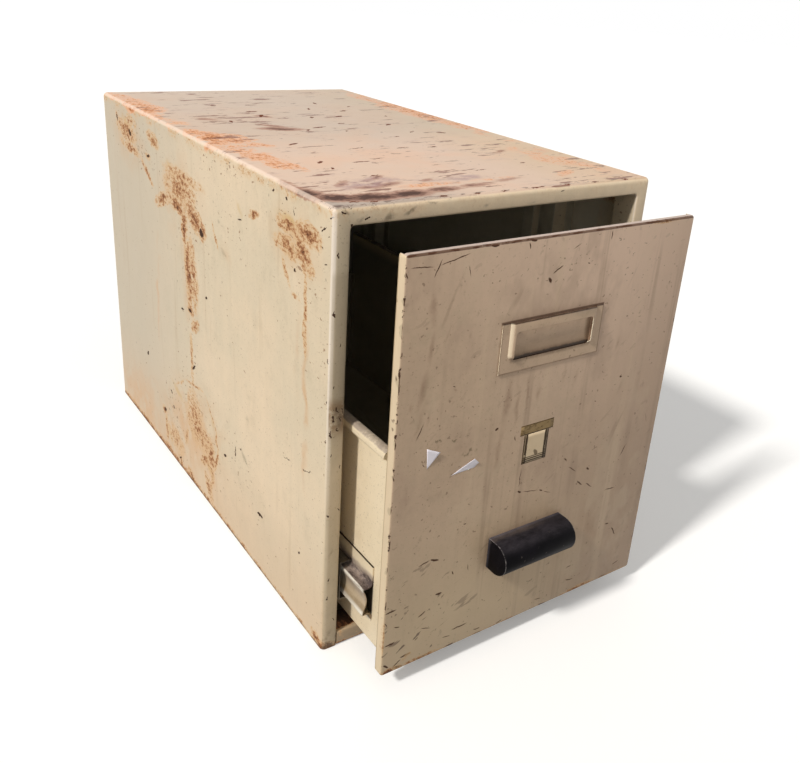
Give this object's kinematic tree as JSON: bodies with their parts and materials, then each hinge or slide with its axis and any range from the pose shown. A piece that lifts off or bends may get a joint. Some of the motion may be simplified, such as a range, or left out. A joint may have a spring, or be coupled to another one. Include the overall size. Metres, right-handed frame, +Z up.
{
  "type": "metal filing cabinet",
  "caption": "One-drawer steel filing cabinet: folded sheet case, inset drawer on telescopic ball slides, card frame and hooded cup pull.",
  "frame": {"origin": "centre of the case's footprint, on the underside of its floor", "axes": "+Z up, +Y from the drawer's front to the case's back, +X to the right as the drawer's front is faced"},
  "size_m": [0.381, 0.7646, 0.463],
  "materials": {
    "cream_enamel": "old cream stoving enamel, satin, with rust, chips and scratches",
    "face_enamel": "the same cream enamel on the drawer's front, grimy, streaked and scratched",
    "slide_steel": "roll-formed steel with old grease and worn edges",
    "ball_steel": "bright bearing steel with a film of grease",
    "black_enamel": "satin black enamel, dusty on top and worn along its rims",
    "buffer_rubber": "matt black rubber"
  },
  "bodies": {
    "case": {"outer_wrap": "cream_enamel", "front_sill": "cream_enamel", "floor_pan": "cream_enamel", "back_panel": "cream_enamel", "left_front_upright": "cream_enamel", "left_rear_upright": "cream_enamel", "right_front_upright": "cream_enamel", "right_rear_upright": "cream_enamel", "left_case_member": "slide_steel", "right_case_member": "slide_steel", "left_buffer": "buffer_rubber", "right_buffer": "buffer_rubber"},
    "drawer": {"drawer_face": "face_enamel", "drawer_head": "cream_enamel", "left_drawer_side": "cream_enamel", "right_drawer_side": "cream_enamel", "drawer_bottom": "cream_enamel", "drawer_back": "cream_enamel", "left_drawer_rail": "slide_steel", "right_drawer_rail": "slide_steel", "card_frame": "face_enamel", "cup_pull": "black_enamel", "left_pull_screw": "ball_steel", "right_pull_screw": "ball_steel"},
    "left_middle": {"left_middle_member": "slide_steel"},
    "right_middle": {"right_middle_member": "slide_steel"},
    "left_inner_cage": {"left_inner_ball_cage": "ball_steel"},
    "right_inner_cage": {"right_inner_ball_cage": "ball_steel"},
    "left_outer_cage": {"left_outer_ball_cage": "ball_steel"},
    "right_outer_cage": {"right_outer_ball_cage": "ball_steel"}
  },
  "joints": [
    {"name": "drawer_slide", "type": "slide", "parent": "case", "child": "drawer", "axis": [0, -1, 0], "range_m": [-0.0793, 0.4807]},
    {"name": "left_middle_slide", "type": "slide", "parent": "case", "child": "left_middle", "axis": [0, -1, 0], "range_m": [-0.0397, 0.2404]},
    {"name": "right_middle_slide", "type": "slide", "parent": "case", "child": "right_middle", "axis": [0, -1, 0], "range_m": [-0.0397, 0.2404]},
    {"name": "left_inner_cage_slide", "type": "slide", "parent": "case", "child": "left_inner_cage", "axis": [0, -1, 0], "range_m": [-0.0595, 0.3606]},
    {"name": "right_inner_cage_slide", "type": "slide", "parent": "case", "child": "right_inner_cage", "axis": [0, -1, 0], "range_m": [-0.0595, 0.3606]},
    {"name": "left_outer_cage_slide", "type": "slide", "parent": "case", "child": "left_outer_cage", "axis": [0, -1, 0], "range_m": [-0.0199, 0.1202]},
    {"name": "right_outer_cage_slide", "type": "slide", "parent": "case", "child": "right_outer_cage", "axis": [0, -1, 0], "range_m": [-0.0199, 0.1202]}
  ],
  "couplings": [
    {"joint": "left_middle_slide", "follows": "drawer_slide", "ratio": 0.5},
    {"joint": "right_middle_slide", "follows": "drawer_slide", "ratio": 0.5},
    {"joint": "left_inner_cage_slide", "follows": "drawer_slide", "ratio": 0.75},
    {"joint": "right_inner_cage_slide", "follows": "drawer_slide", "ratio": 0.75},
    {"joint": "left_outer_cage_slide", "follows": "drawer_slide", "ratio": 0.25},
    {"joint": "right_outer_cage_slide", "follows": "drawer_slide", "ratio": 0.25}
  ]
}
